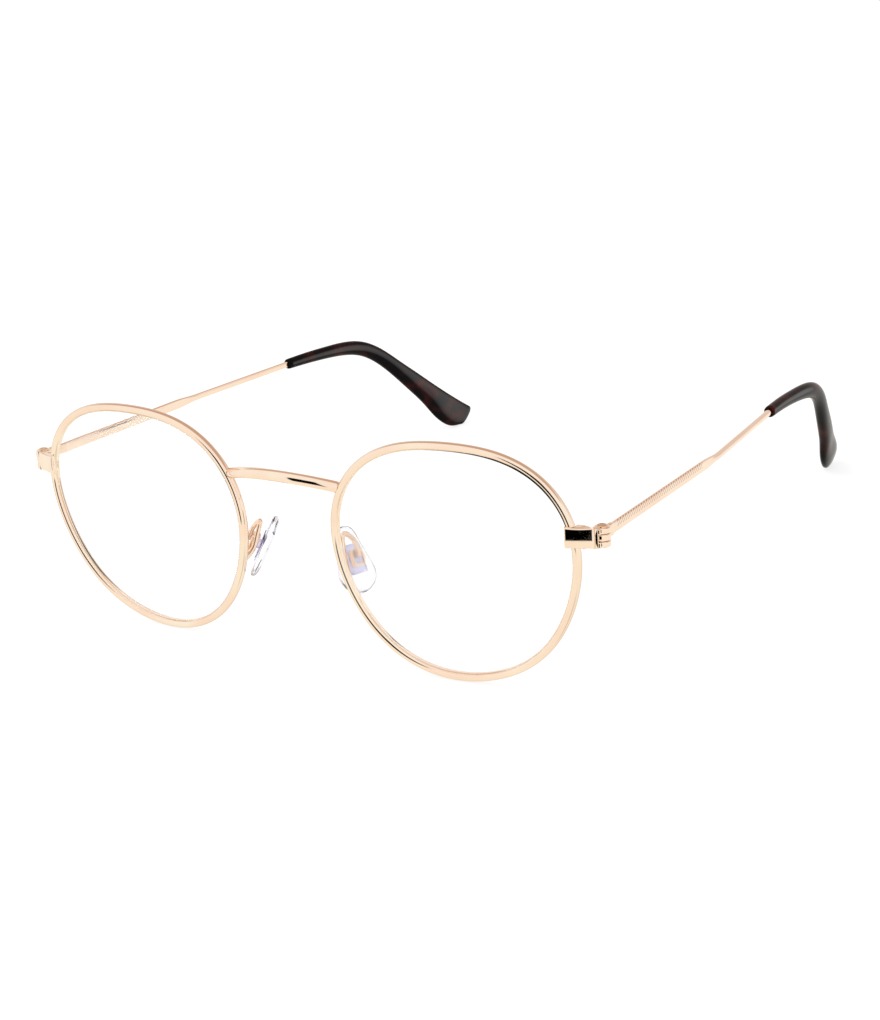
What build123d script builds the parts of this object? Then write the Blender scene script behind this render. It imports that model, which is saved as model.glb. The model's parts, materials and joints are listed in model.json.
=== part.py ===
from build123d import *
from math import atan2, cos, hypot, pi, radians, sin, sqrt
import os

# Round wire eyeglasses, open, standing on the rims and the temple tips.
# +X is the wearer's left, -Y is the front, +Z is up. Millimetres.
# The pieces are drawn about a point midway between the two lens centres. Then
# the whole is moved so that the origin is at the middle of the footprint, on
# the surface that the glasses stand on.
# The left side is modelled and the right side is its mirror image.

# from the lens centres' midpoint to the middle of the footprint
stand_shift = (0, -71.60, 24.90)

# ---- front: lens shape and rim wire ----
lens_centre_x = 36.30        # half the distance between the two lens centres
wrap_deg = 2.97              # outer edge of each lens sits back by this angle
tilt_deg = 3.10              # top of the front leans forward
rim_r0 = 24.50               # mean radius of the rim wire's centreline
rim_cos = (0.0, 0.972, 0.080, -0.324, -0.063)   # cosine terms 1..5
rim_sin = (0.0, 0.407, 0.851, -0.008, 0.053)    # sine terms 1..5
rim_width = 1.70             # seen from the front
rim_depth = 1.90             # front to back
groove_mouth = 1.10
groove_depth = 0.50
rim_split = 0.12             # gap where the closing block draws the rim shut
split_height = 8.15          # height of that gap above the lens centre line

# ---- lens ----
bevel_tip = -0.42            # offset of the bevel's tip from the rim centreline
lens_edge = -0.92            # offset of the lens wall from the rim centreline
lens_edge_thickness = 1.50
lens_front_radius = 130.0
lens_back_radius = 313.0

# ---- bridge ----
bridge_wire = 2.25
bridge_half_span = 12.36
bridge_y_end, bridge_y_mid = -1.12, -4.61
bridge_z_end, bridge_z_mid = 12.06, 14.34

# ---- endpiece and closing block ----
plate_inner = (60.45, -1.08)   # front corner over the rim
plate_outer = (65.33, 0.61)    # front corner beside the hinge; the plate leans back
plate_thick = 1.03
plate_z0, plate_z1 = 5.75, 9.80
plate_rear_y = 0.95            # flat behind the outer end, for the hinge
block_x0, block_x1 = 61.35, 64.15
block_y1 = 2.25
block_z0, block_z1 = 5.95, 9.60
block_gap = 0.12
closing_x, closing_y = 63.05, 1.55
closing_shank_r, closing_head_r = 0.35, 0.52

# ---- temple hinge ----
hinge_x, hinge_y = 66.00, 2.85
knuckle_r = 1.55
hinge_z0 = 5.85
knuckle_h, middle_h, washer_gap = 1.17, 1.29, 0.06
hinge_shank_r, hinge_bore_r = 0.60, 0.64
hinge_head_r, hinge_head_h = 1.05, 0.42

# ---- temple ----
flat_thick, flat_tall = 0.80, 2.10
round_r = 0.70
core_r = 0.60                # wire inside the sleeve
temple_start = (66.25, 6.20, 8.115)
flat_end = (65.54, 46.50, 7.256)
round_start = (65.40, 54.00, 7.096)
sleeve_mouth = (62.72, 86.06, 6.72)

# ---- temple tip: centreline points, half height and half thickness ----
tip_stations = (
    # x, y, z, half height, half thickness
    (62.72, 86.06, 6.72, 1.24, 1.24),
    (62.19, 93.60, 6.42, 1.38, 1.27),
    (61.79, 101.07, 5.86, 1.50, 1.30),
    (61.45, 108.40, 5.02, 1.68, 1.32),
    (60.85, 115.34, 3.30, 1.84, 1.35),
    (59.85, 121.30, 0.05, 1.95, 1.38),
    (58.44, 126.75, -4.50, 2.15, 1.40),
    (57.00, 132.00, -9.30, 2.60, 1.38),
    (55.60, 136.80, -13.90, 3.10, 1.34),
    (54.05, 141.70, -18.45, 3.70, 1.28),
    (52.95, 145.30, -21.03, 3.85, 1.15),
)
tip_end = (51.95, 148.30, -22.61, 2.60, 0.60)
sleeve_clearance = 0.02

# ---- nose pad: centre, direction down the pad, and away from the nose ----
pad_centre = Vector(10.63, 4.00, -4.90)
pad_down = Vector(0.409, -0.177, -0.895).normalized()
pad_out = Vector(0.782, -0.438, 0.444).normalized()
pad_length = 13.60
pad_top_r, pad_bottom_r = 2.20, 3.95    # small and large ends of the teardrop
pad_inner, pad_outer = -1.10, 0.80      # contact face and outer face
insert_long, insert_wide = 5.80, 3.90
insert_bottom, insert_top = 0.15, 0.95
box_mouth, box_back = 1.35, 3.05
box_long, box_wide = 3.40, 2.70
cavity_long, cavity_wide, cavity_back = 2.50, 1.70, 2.70
lug_long, lug_wide, lug_top = 1.50, 1.50, 2.50
pad_pivot = 1.95                        # height of the screw above the pad
pad_shank_r, pad_head_r = 0.40, 0.65
arm_wire = 1.00
arm_points = ((12.30, 0.02, -6.35), (11.00, 1.00, -4.30), (10.20, 1.70, -1.30),
              (10.05, 2.65, 0.80), (11.35, 3.15, 0.10), (12.70, 2.85, -1.80),
              (13.10, 2.60, -3.10))


def lens_to_row(x, y, z):
    """Turn a point of the upright front by the front's forward lean."""
    t = radians(tilt_deg)
    return (x, y * cos(t) - z * sin(t), y * sin(t) + z * cos(t))


def rim_radius(a):
    r = rim_r0
    for k in range(1, 6):
        r += rim_cos[k - 1] * cos(k * a) + rim_sin[k - 1] * sin(k * a)
    return r


def rim_point(a, offset=0.0):
    """Point of the rim's outline in the lens plane, moved outward by offset."""
    r = rim_radius(a)
    d = (rim_radius(a + 1e-4) - rim_radius(a - 1e-4)) / 2e-4
    tx, ty = d * cos(a) - r * sin(a), d * sin(a) + r * cos(a)
    n = hypot(tx, ty)
    return (r * cos(a) + offset * ty / n, r * sin(a) - offset * tx / n)


def rim_tangent(a):
    x0, y0 = rim_point(a - 1e-4)
    x1, y1 = rim_point(a + 1e-4)
    n = hypot(x1 - x0, y1 - y0)
    return ((x1 - x0) / n, (y1 - y0) / n)


def outline_arcs(angles):
    """Pairs of tangent arcs (centre, radius, start, end) through the outline."""
    arcs = []
    for a0, a1 in zip(angles[:-1], angles[1:]):
        p0, p1, t0, t1 = rim_point(a0), rim_point(a1), rim_tangent(a0), rim_tangent(a1)
        vx, vy = p1[0] - p0[0], p1[1] - p0[1]
        vt = vx * (t0[0] + t1[0]) + vy * (t0[1] + t1[1])
        den = 2 * (1 - t0[0] * t1[0] - t0[1] * t1[1])
        d = (sqrt(vt * vt + den * (vx * vx + vy * vy)) - vt) / den
        q0 = (p0[0] + d * t0[0], p0[1] + d * t0[1])
        q1 = (p1[0] - d * t1[0], p1[1] - d * t1[1])
        m = ((q0[0] + q1[0]) / 2, (q0[1] + q1[1]) / 2)
        n = hypot(q1[0] - q0[0], q1[1] - q0[1])
        tm = ((q1[0] - q0[0]) / n, (q1[1] - q0[1]) / n)
        for start, t, end in ((p0, t0, m), (m, tm, p1)):
            cx, cy = end[0] - start[0], end[1] - start[1]
            r = (cx * cx + cy * cy) / (2 * (cy * t[0] - cx * t[1]))
            arcs.append(((start[0] - t[1] * r, start[1] + t[0] * r), r, start, end))
    return arcs


def arc_points(arc, offset):
    """Start, middle and end of an arc of the outline, moved outward by offset."""
    (cx, cy), r, start, end = arc
    a0 = atan2(start[1] - cy, start[0] - cx)
    a1 = atan2(end[1] - cy, end[0] - cx)
    a1 += 2 * pi if a1 < a0 else 0
    return [(cx + (r + offset) * cos(a), cy + (r + offset) * sin(a))
            for a in (a0, (a0 + a1) / 2, a1)]


# the lens plane: its x runs outward, its y up, its normal to the front
_w, _t = radians(wrap_deg), radians(tilt_deg)
lens_plane = Plane(
    origin=(lens_centre_x, 0, 0),
    x_dir=(cos(_w), sin(_w) * cos(_t), sin(_w) * sin(_t)),
    z_dir=(sin(_w), -cos(_w) * cos(_t), -cos(_w) * sin(_t)),
)

# ---------------------------------------------------------------- eyewire
# angle at which the rim is split
a_split = 0.32
for _ in range(30):
    a_split += (split_height - rim_point(a_split)[1]) / rim_r0
half_gap = rim_split / 2 / rim_radius(a_split)
rim_arcs = outline_arcs([
    a_split + half_gap + (2 * pi - 2 * half_gap) * i / 9 for i in range(10)])
lens_arcs = outline_arcs([a_split + 2 * pi * i / 9 for i in range(10)])
with BuildPart() as left_eyewire:
    with BuildLine(lens_plane) as rim_path:
        for arc in rim_arcs:
            ThreePointArc(*arc_points(arc, 0))
    rim_wire = rim_path.wires()[0]
    with BuildSketch(Plane(origin=rim_wire @ 0, z_dir=rim_wire % 0,
                           x_dir=(rim_wire % 0).cross(lens_plane.z_dir))):
        RectangleRounded(rim_width, rim_depth, 0.62)
        with BuildLine():
            Polyline((-rim_width / 2 - 0.01, groove_mouth / 2),
                     (-rim_width / 2 + groove_depth, 0),
                     (-rim_width / 2 - 0.01, -groove_mouth / 2), close=True)
        make_face(mode=Mode.SUBTRACT)
    sweep(path=rim_wire)

# ---------------------------------------------------------------- lens
front_apex = lens_edge_thickness / 2 + 24.0 ** 2 / (2 * lens_front_radius)
back_apex = -lens_edge_thickness / 2 + 24.0 ** 2 / (2 * lens_back_radius)
with BuildPart() as left_lens:
    with BuildSketch(lens_plane.offset(-3)):
        with BuildLine():
            for arc in lens_arcs:
                ThreePointArc(*arc_points(arc, lens_edge))
        make_face()
    extrude(amount=8)
    with Locations(lens_plane.offset(front_apex - lens_front_radius)):
        Sphere(lens_front_radius, mode=Mode.INTERSECT)
    with Locations(lens_plane.offset(back_apex - lens_back_radius)):
        Sphere(lens_back_radius, mode=Mode.SUBTRACT)
    # bevel that sits in the rim's groove
    for height, off in ((-0.50, lens_edge), (0.0, bevel_tip), (0.50, lens_edge)):
        with BuildSketch(lens_plane.offset(height)):
            with BuildLine():
                for arc in lens_arcs:
                    ThreePointArc(*arc_points(arc, off))
            make_face()
    loft(ruled=True)

# ---------------------------------------------------------------- endpiece
plate_run = Vector(plate_outer[0] - plate_inner[0], plate_outer[1] - plate_inner[1], 0)
plate_dir = plate_run.normalized()


def plate_back(x):
    """Depth of the plate's back face at x."""
    slope = plate_dir.Y / plate_dir.X
    return plate_inner[1] + slope * (x - plate_inner[0]) + plate_thick / plate_dir.X


corner_x = plate_inner[0] - plate_thick * plate_dir.Y
rear_x = plate_inner[0] + (plate_rear_y - plate_back(plate_inner[0])) * plate_dir.X / plate_dir.Y
with BuildPart() as left_endpiece:
    with BuildSketch(Plane.XY.offset(plate_z0)) as plate_plan:
        with BuildLine():
            Polyline((plate_outer[0] + 0.30, plate_rear_y), (rear_x, plate_rear_y),
                     (corner_x, plate_back(corner_x)),
                     (plate_inner[0] - 0.08, plate_inner[1] + 0.22))
            ThreePointArc((plate_inner[0] - 0.08, plate_inner[1] + 0.22),
                          (plate_inner[0] + 0.05, plate_inner[1] + 0.05),
                          (plate_inner[0] + 0.25, plate_inner[1] + 0.06))
            ThreePointArc((plate_inner[0] + 0.25, plate_inner[1] + 0.06),
                          ((plate_inner[0] + plate_outer[0]) / 2 + 0.04,
                           (plate_inner[1] + plate_outer[1]) / 2 - 0.12),
                          plate_outer)
            ThreePointArc(plate_outer, (plate_outer[0] + 0.22, plate_outer[1] + 0.14),
                          (plate_outer[0] + 0.30, plate_rear_y))
        make_face()
    extrude(amount=plate_z1 - plate_z0)
    # soften the top and bottom edges along the front
    front_face = left_endpiece.faces().sort_by_distance(
        ((plate_inner[0] + plate_outer[0]) / 2, -2.0, (plate_z0 + plate_z1) / 2))[0]
    fillet(front_face.edges().filter_by_position(Axis.Z, plate_z1 - 0.01, plate_z1 + 0.01)
           + front_face.edges().filter_by_position(Axis.Z, plate_z0 - 0.01, plate_z0 + 0.01),
           radius=0.30)
    add(left_eyewire.part, mode=Mode.SUBTRACT)

# ---------------------------------------------------------------- closing block
split_z = split_height
with BuildPart() as left_closing_block_upper:
    with BuildSketch(Plane.XY.offset(split_z + block_gap / 2)):
        with BuildLine():
            Polyline((block_x0, plate_back(block_x0)), (block_x1, plate_back(block_x1)),
                     (block_x1, block_y1), (block_x0, block_y1), close=True)
        make_face()
    extrude(amount=block_z1 - split_z - block_gap / 2)
    fillet(left_closing_block_upper.edges().filter_by(Axis.Z).group_by(Axis.Y)[-1], 0.45)
    chamfer(left_closing_block_upper.faces().sort_by(Axis.Z)[-1].edges()
            .group_by(Axis.Y)[-1], 0.25)
    with Locations((closing_x, closing_y, block_z1)):
        Hole(closing_shank_r + 0.01)
    add(left_eyewire.part, mode=Mode.SUBTRACT)

with BuildPart() as left_closing_block_lower:
    with BuildSketch(Plane.XY.offset(block_z0)):
        with BuildLine():
            Polyline((block_x0, plate_back(block_x0) + 0.10),
                     (block_x1, plate_back(block_x1) + 0.10),
                     (block_x1, block_y1), (block_x0, block_y1), close=True)
        make_face()
    extrude(amount=split_z - block_gap / 2 - block_z0)
    fillet(left_closing_block_lower.edges().filter_by(Axis.Z).group_by(Axis.Y)[-1], 0.45)
    with Locations((closing_x, closing_y, block_z0)):
        Hole(closing_shank_r + 0.05)
    add(left_eyewire.part, mode=Mode.SUBTRACT)

with BuildPart() as left_closing_screw:
    with BuildSketch(Plane.XZ.offset(-closing_y)):
        with BuildLine():
            Polyline((closing_x, block_z0 - 0.55), (closing_x + 0.44, block_z0 - 0.55),
                     (closing_x + closing_head_r, block_z0 - 0.40),
                     (closing_x + closing_head_r, block_z0),
                     (closing_x + closing_shank_r, block_z0),
                     (closing_x + closing_shank_r, block_z1 - 0.30),
                     (closing_x + closing_shank_r - 0.15, block_z1 - 0.12),
                     (closing_x, block_z1 - 0.12), close=True)
        make_face()
    revolve(axis=Axis((closing_x, closing_y, 0), (0, 0, 1)))
    with Locations((closing_x, closing_y, block_z0 - 0.55)):
        Box(3, 0.22, 0.44, mode=Mode.SUBTRACT)

# ---------------------------------------------------------------- hinge
lower_top = hinge_z0 + knuckle_h
middle_z0 = lower_top + washer_gap
middle_z1 = middle_z0 + middle_h
upper_z0 = middle_z1 + washer_gap
hinge_z1 = upper_z0 + knuckle_h
with BuildPart() as left_hinge_front:
    # two knuckles with their outer rims broken
    for z in (hinge_z0, upper_z0):
        with BuildSketch(Plane.XY.offset(z)):
            with Locations((hinge_x, hinge_y)):
                Circle(knuckle_r)
        extrude(amount=knuckle_h)
    chamfer([left_hinge_front.edges().filter_by(GeomType.CIRCLE).sort_by(Axis.Z)[0],
             left_hinge_front.edges().filter_by(GeomType.CIRCLE).sort_by(Axis.Z)[-1]], 0.18)
    # webs back to the base plate
    for z in (hinge_z0 + 0.05, upper_z0):
        with BuildSketch(Plane.XY.offset(z)):
            with Locations((hinge_x - 0.42, 2.0)):
                Rectangle(1.9, 1.7)
        extrude(amount=knuckle_h - 0.05)
    # base plate brazed to the back of the endpiece
    with BuildSketch(Plane.XY.offset(hinge_z0)):
        with Locations((65.27, (plate_rear_y + 1.22) / 2)):
            Rectangle(1.84, 1.22 - plate_rear_y)
    extrude(amount=hinge_z1 - hinge_z0)
    with Locations((hinge_x, hinge_y, hinge_z1)):
        Hole(hinge_bore_r)

with BuildPart() as left_hinge_temple:
    # middle knuckle and its neck
    with BuildSketch(Plane.XY.offset(middle_z0)):
        with Locations((hinge_x, hinge_y)):
            Circle(knuckle_r)
        with Locations((66.25, 4.0)):
            Rectangle(1.0, 2.2)
    extrude(amount=middle_h)
    # pad that the temple is brazed to
    with BuildSketch(Plane.XY.offset(temple_start[2] - 1.20)):
        with Locations((66.25, (hinge_y + knuckle_r + 0.12 + temple_start[1]) / 2)):
            RectangleRounded(1.04, temple_start[1] - hinge_y - knuckle_r - 0.12, 0.30)
    extrude(amount=2.40)
    fillet(left_hinge_temple.faces().filter_by(Plane.XY)
           .filter_by_position(Axis.Z, temple_start[2] + 1.15, temple_start[2] + 1.25)
           .edges(), 0.22)
    fillet(left_hinge_temple.faces().filter_by(Plane.XY)
           .filter_by_position(Axis.Z, temple_start[2] - 1.25, temple_start[2] - 1.15)
           .edges(), 0.12)
    with Locations((hinge_x, hinge_y, middle_z1)):
        Hole(hinge_bore_r)

with BuildPart() as left_hinge_screw:
    with BuildSketch(Plane.XZ.offset(-hinge_y)):
        with BuildLine():
            Line((hinge_x, hinge_z0 - 0.10), (hinge_x + 0.45, hinge_z0 - 0.10))
            Line((hinge_x + 0.45, hinge_z0 - 0.10), (hinge_x + hinge_shank_r, hinge_z0 + 0.05))
            Line((hinge_x + hinge_shank_r, hinge_z0 + 0.05), (hinge_x + hinge_shank_r, hinge_z1))
            Line((hinge_x + hinge_shank_r, hinge_z1), (hinge_x + hinge_head_r, hinge_z1))
            Line((hinge_x + hinge_head_r, hinge_z1), (hinge_x + hinge_head_r, hinge_z1 + 0.16))
            ThreePointArc((hinge_x + hinge_head_r, hinge_z1 + 0.16),
                          (hinge_x + 0.62, hinge_z1 + 0.36),
                          (hinge_x, hinge_z1 + hinge_head_h))
            Line((hinge_x, hinge_z1 + hinge_head_h), (hinge_x, hinge_z0 - 0.10))
        make_face()
    revolve(axis=Axis((hinge_x, hinge_y, 0), (0, 0, 1)))
    with Locations(Location((hinge_x, hinge_y, hinge_z1 + hinge_head_h), (0, 0, 25))):
        Box(3, 0.30, 0.42, mode=Mode.SUBTRACT)

# ---------------------------------------------------------------- temple
flat_dir = Vector(*flat_end) - Vector(*temple_start)
flat_side = Plane(origin=temple_start, z_dir=flat_dir,
                  x_dir=flat_dir.cross(Vector(0, 0, 1)))
flat_length = flat_dir.length
round_dir = Vector(*sleeve_mouth) - Vector(*round_start)
# bend of the core inside the sleeve: a corner point rounded to core_bend_r
core_corner, core_end, core_bend_r = Vector(61.20, 117.0, 4.90), Vector(54.60, 140.10, -17.00), 22.0
d1 = (core_corner - Vector(*sleeve_mouth)).normalized()
d2 = (core_end - core_corner).normalized()
bend_half = d1.get_angle(d2) / 2
bend_in = core_corner - d1 * core_bend_r * sin(radians(bend_half)) / cos(radians(bend_half))
bend_out = core_corner + d2 * core_bend_r * sin(radians(bend_half)) / cos(radians(bend_half))
bend_mid = core_corner + (d2 - d1).normalized() * core_bend_r * (1 / cos(radians(bend_half)) - 1)


def section_plane(origin, direction):
    d = direction.normalized()
    return Plane(origin=origin, z_dir=d, x_dir=d.cross(Vector(0, 0, 1)))


bend_side = section_plane(Vector(*round_start),
                          flat_dir.normalized() + round_dir.normalized())
with BuildPart() as left_temple:
    # flattened front length
    with BuildSketch(flat_side):
        RectangleRounded(flat_thick, flat_tall, 0.30)
    extrude(amount=flat_length)
    # short taper from the flat to the round
    with BuildSketch(flat_side.offset(flat_length)):
        RectangleRounded(flat_thick, flat_tall, 0.30)
    with BuildSketch(bend_side):
        RectangleRounded(2 * round_r, 2 * round_r, round_r - 0.01)
    loft()
    # round wire up to the sleeve
    with BuildSketch(bend_side):
        RectangleRounded(2 * round_r, 2 * round_r, round_r - 0.01)
    extrude(amount=round_dir.length, dir=round_dir.normalized())
    # thinner core inside the sleeve
    with BuildLine() as core_path:
        Line(Vector(*sleeve_mouth) - d1, bend_in)
        ThreePointArc(bend_in, bend_mid, bend_out)
        Line(bend_out, core_end)
    with BuildSketch(section_plane(Vector(*sleeve_mouth) - d1, d1)):
        Circle(core_r)
    sweep(path=core_path.wires()[0])

# ---------------------------------------------------------------- temple tip
with BuildPart() as left_temple_tip:
    with BuildLine(mode=Mode.PRIVATE) as tip_path:
        Spline(*[s[:3] for s in tip_stations],
               tangents=(d1, Vector(-0.215, 0.70, -0.66)))
    tip_curve = tip_path.edges()[0]
    for x, y, z, high, thick in tip_stations:
        along = tip_curve.tangent_at(Vector(x, y, z)).normalized()
        side = (Vector(1, 0, 0) - along * along.dot(Vector(1, 0, 0))).normalized()
        with BuildSketch(Plane(origin=(x, y, z), x_dir=side, z_dir=along)):
            Ellipse(thick, high)
    x, y, z, high, thick = tip_end
    along = (Vector(x, y, z) - Vector(*tip_stations[-1][:3])).normalized()
    side = (Vector(1, 0, 0) - along * along.dot(Vector(1, 0, 0))).normalized()
    with BuildSketch(Plane(origin=(x, y, z), x_dir=side, z_dir=along)):
        Ellipse(thick, high)
    loft()
    # blind bore for the temple's core
    with BuildLine(mode=Mode.PRIVATE) as bore_path:
        Line(Vector(*sleeve_mouth) - d1, bend_in)
        ThreePointArc(bend_in, bend_mid, bend_out)
        Line(bend_out, core_end + d2 * 0.8)
    with BuildSketch(section_plane(Vector(*sleeve_mouth) - d1, d1)) as bore_round:
        Circle(core_r + sleeve_clearance)
    sweep(path=bore_path.wires()[0], mode=Mode.SUBTRACT)

# ---------------------------------------------------------------- nose pad
# pad planes: x across the pad (front to back), y up the pad, z away from the nose
pad_plane = Plane(origin=pad_centre, x_dir=(-pad_down).cross(pad_out), z_dir=pad_out)
pad_across = pad_plane.x_dir

with BuildPart() as left_nose_pad:
    with BuildSketch(pad_plane.offset(pad_inner)):
        with Locations((0, pad_length / 2 - pad_top_r)):
            Circle(pad_top_r)
        with Locations((0, pad_bottom_r - pad_length / 2)):
            Circle(pad_bottom_r)
        make_hull()
    extrude(amount=pad_outer - pad_inner)
    fillet(left_nose_pad.faces().sort_by(Axis(pad_centre, pad_out))[0].edges()
           + left_nose_pad.faces().sort_by(Axis(pad_centre, pad_out))[-1].edges(), 0.62)
    # pocket for the insert plate
    with BuildSketch(pad_plane.offset(insert_bottom)):
        Rectangle(insert_wide + 0.02, insert_long + 0.02)
    extrude(amount=2, mode=Mode.SUBTRACT)

with BuildPart() as left_pad_insert:
    with BuildSketch(pad_plane.offset(insert_bottom)):
        Rectangle(insert_wide, insert_long)
        chamfer(vertices(), 0.90)
    extrude(amount=insert_top - insert_bottom)
    chamfer(left_pad_insert.faces().sort_by(Axis(pad_centre, pad_out))[-1].edges(), 0.18)
    # lug that stands in the box
    with BuildSketch(pad_plane.offset(insert_top)):
        Rectangle(lug_wide, lug_long)
    extrude(amount=lug_top - insert_top)
    fillet(left_pad_insert.faces().sort_by(Axis(pad_centre, pad_out))[-1]
           .edges().filter_by(Axis((0, 0, 0), pad_across)), 0.60)
    # screw hole across the lug
    with BuildSketch(Plane(origin=pad_centre + pad_out * pad_pivot - pad_across * 2,
                           x_dir=pad_out, z_dir=pad_across)):
        Circle(pad_shank_r + 0.04)
    extrude(amount=4, mode=Mode.SUBTRACT)

with BuildPart() as left_pad_box:
    with BuildSketch(pad_plane.offset(box_mouth)):
        RectangleRounded(box_wide, box_long, 0.35)
    extrude(amount=box_back - box_mouth)
    fillet(left_pad_box.faces().sort_by(Axis(pad_centre, pad_out))[-1].edges(), 0.25)
    with BuildSketch(pad_plane.offset(box_mouth)):
        Rectangle(cavity_wide, cavity_long)
    extrude(amount=cavity_back - box_mouth, mode=Mode.SUBTRACT)
    with BuildSketch(Plane(origin=pad_centre + pad_out * pad_pivot - pad_across * 2,
                           x_dir=pad_out, z_dir=pad_across)):
        Circle(pad_shank_r + 0.01)
    extrude(amount=4, mode=Mode.SUBTRACT)

# the screw's head is at the rear
pad_screw_at = pad_centre + pad_out * pad_pivot
with BuildPart() as left_pad_screw:
    with BuildSketch(Plane(origin=pad_screw_at - pad_across * (box_wide / 2 + 0.05),
                           x_dir=pad_out, z_dir=pad_across)):
        Circle(pad_shank_r)
    extrude(amount=box_wide + 0.05)
    with BuildSketch(Plane(origin=pad_screw_at + pad_across * (box_wide / 2),
                           x_dir=pad_out, z_dir=pad_across)):
        Circle(pad_head_r)
    extrude(amount=0.40)
    fillet(left_pad_screw.faces().sort_by(Axis(pad_centre, pad_across))[-1].edges(), 0.18)
    with BuildSketch(Plane(origin=pad_screw_at + pad_across * (box_wide / 2 + 0.20),
                           x_dir=pad_out, z_dir=pad_across)):
        Rectangle(3, 0.20)
    extrude(amount=0.40, mode=Mode.SUBTRACT)

with BuildPart() as left_pad_arm:
    with BuildLine() as arm_path:
        Spline(*arm_points)
    with BuildSketch(Plane(origin=arm_path.line @ 0, z_dir=arm_path.line % 0)):
        Circle(arm_wire / 2)
    sweep(path=arm_path.line)

# ---------------------------------------------------------------- mirror
left = {
    "eyewire": left_eyewire, "lens": left_lens, "endpiece": left_endpiece,
    "closing_block_upper": left_closing_block_upper,
    "closing_block_lower": left_closing_block_lower,
    "closing_screw": left_closing_screw, "hinge_front": left_hinge_front,
    "hinge_temple": left_hinge_temple, "hinge_screw": left_hinge_screw,
    "temple": left_temple, "temple_tip": left_temple_tip,
    "nose_pad": left_nose_pad, "pad_insert": left_pad_insert,
    "pad_box": left_pad_box, "pad_screw": left_pad_screw, "pad_arm": left_pad_arm,
}
pieces = {}
for name, piece in left.items():
    piece.part.label = "left_" + name
    pieces["left_" + name] = piece.part
    with BuildPart() as other_side:
        mirror(piece.part, about=Plane.YZ)
    other_side.part.label = "right_" + name
    pieces["right_" + name] = other_side.part

# ---------------------------------------------------------------- bridge
with BuildPart() as bridge:
    with BuildLine() as bridge_path:
        ThreePointArc(lens_to_row(-bridge_half_span, bridge_y_end, bridge_z_end),
                      lens_to_row(0, bridge_y_mid, bridge_z_mid),
                      lens_to_row(bridge_half_span, bridge_y_end, bridge_z_end))
    with BuildSketch(Plane(origin=bridge_path.line @ 0, z_dir=bridge_path.line % 0)):
        Circle(bridge_wire / 2)
    sweep(path=bridge_path.line)
    # rounded ends
    with Locations(Location(bridge_path.line @ 0), Location(bridge_path.line @ 1)):
        Sphere(bridge_wire / 2)
    add(left_eyewire.part, mode=Mode.SUBTRACT)
    add(pieces["right_eyewire"], mode=Mode.SUBTRACT)
bridge.part.label = "bridge"
pieces["bridge"] = bridge.part

os.makedirs("parts", exist_ok=True)
for name, solid in pieces.items():
    placed = solid.moved(Location(stand_shift))
    placed.label = name
    export_step(placed, "parts/" + name + ".step")
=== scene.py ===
"""Wire spectacles with clear lenses, standing open on a pale floor.

The parts are drawn in millimetres about the midpoint of the two lens centres: +X to the
wearer's left, -Y to the front, +Z up. The temples run back along +Y. Left parts are drawn,
and right parts are their mirror images in X.
"""
import json
import math

import bmesh
import bpy
import numpy as np
from mathutils import Matrix, Vector

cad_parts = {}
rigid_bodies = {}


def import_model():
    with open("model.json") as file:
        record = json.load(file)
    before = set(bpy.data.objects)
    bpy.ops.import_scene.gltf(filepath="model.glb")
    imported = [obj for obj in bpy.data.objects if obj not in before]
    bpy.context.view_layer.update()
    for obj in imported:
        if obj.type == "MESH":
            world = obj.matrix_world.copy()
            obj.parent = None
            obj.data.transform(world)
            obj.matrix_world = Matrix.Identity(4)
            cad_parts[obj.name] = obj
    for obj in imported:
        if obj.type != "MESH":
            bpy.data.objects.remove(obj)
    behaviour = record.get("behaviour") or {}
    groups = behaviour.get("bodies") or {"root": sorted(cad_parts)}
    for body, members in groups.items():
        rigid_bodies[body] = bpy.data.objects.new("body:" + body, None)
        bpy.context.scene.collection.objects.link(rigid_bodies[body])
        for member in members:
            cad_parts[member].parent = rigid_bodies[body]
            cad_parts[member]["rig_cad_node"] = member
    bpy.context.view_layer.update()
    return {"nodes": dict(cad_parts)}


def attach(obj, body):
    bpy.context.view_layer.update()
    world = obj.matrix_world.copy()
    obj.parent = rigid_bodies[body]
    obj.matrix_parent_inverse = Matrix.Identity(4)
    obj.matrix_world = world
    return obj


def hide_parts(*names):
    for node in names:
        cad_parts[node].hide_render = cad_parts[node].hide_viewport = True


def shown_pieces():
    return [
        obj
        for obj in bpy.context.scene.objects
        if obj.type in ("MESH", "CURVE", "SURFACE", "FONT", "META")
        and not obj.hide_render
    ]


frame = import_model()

nodes = frame["nodes"]

MM = 0.001
LENS_MIDPOINT = np.array([0.0, -71.60, 24.90])   # its place in the scene, mm
SIDES = ("left", "right")
WORLD_UP = (0, 0, 1)


# ------------------------------------------------------------------ shapes
def unit(vector):
    vector = np.asarray(vector, float)
    return vector / np.linalg.norm(vector)


def tube(rings, closed=False):
    """Skin over equal rings: one block of faces per band, then a fan over each open end."""
    rings = [np.asarray(ring, float) for ring in rings]
    n, m = len(rings[0]), len(rings)
    verts = [point for ring in rings for point in ring]
    faces = []
    for i in range(m if closed else m - 1):
        a, b = i * n, ((i + 1) % m) * n
        for k in range(n):
            k2 = (k + 1) % n
            faces.append((a + k, a + k2, b + k2, b + k))
    if not closed:
        middle = len(verts)
        verts += [rings[0].mean(0), rings[-1].mean(0)]
        last = (m - 1) * n
        faces += [(middle, (k + 1) % n, k) for k in range(n)]
        faces += [(middle + 1, last + k, last + (k + 1) % n) for k in range(n)]
    return np.array(verts), faces


def flipped(mesh):
    verts, faces = mesh
    return verts, [face[::-1] for face in faces]


def merge(meshes):
    all_verts, all_faces, offset = [], [], 0
    for verts, faces in meshes:
        all_verts.append(verts)
        all_faces += [tuple(i + offset for i in face) for face in faces]
        offset += len(verts)
    return np.vstack(all_verts), all_faces


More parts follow.
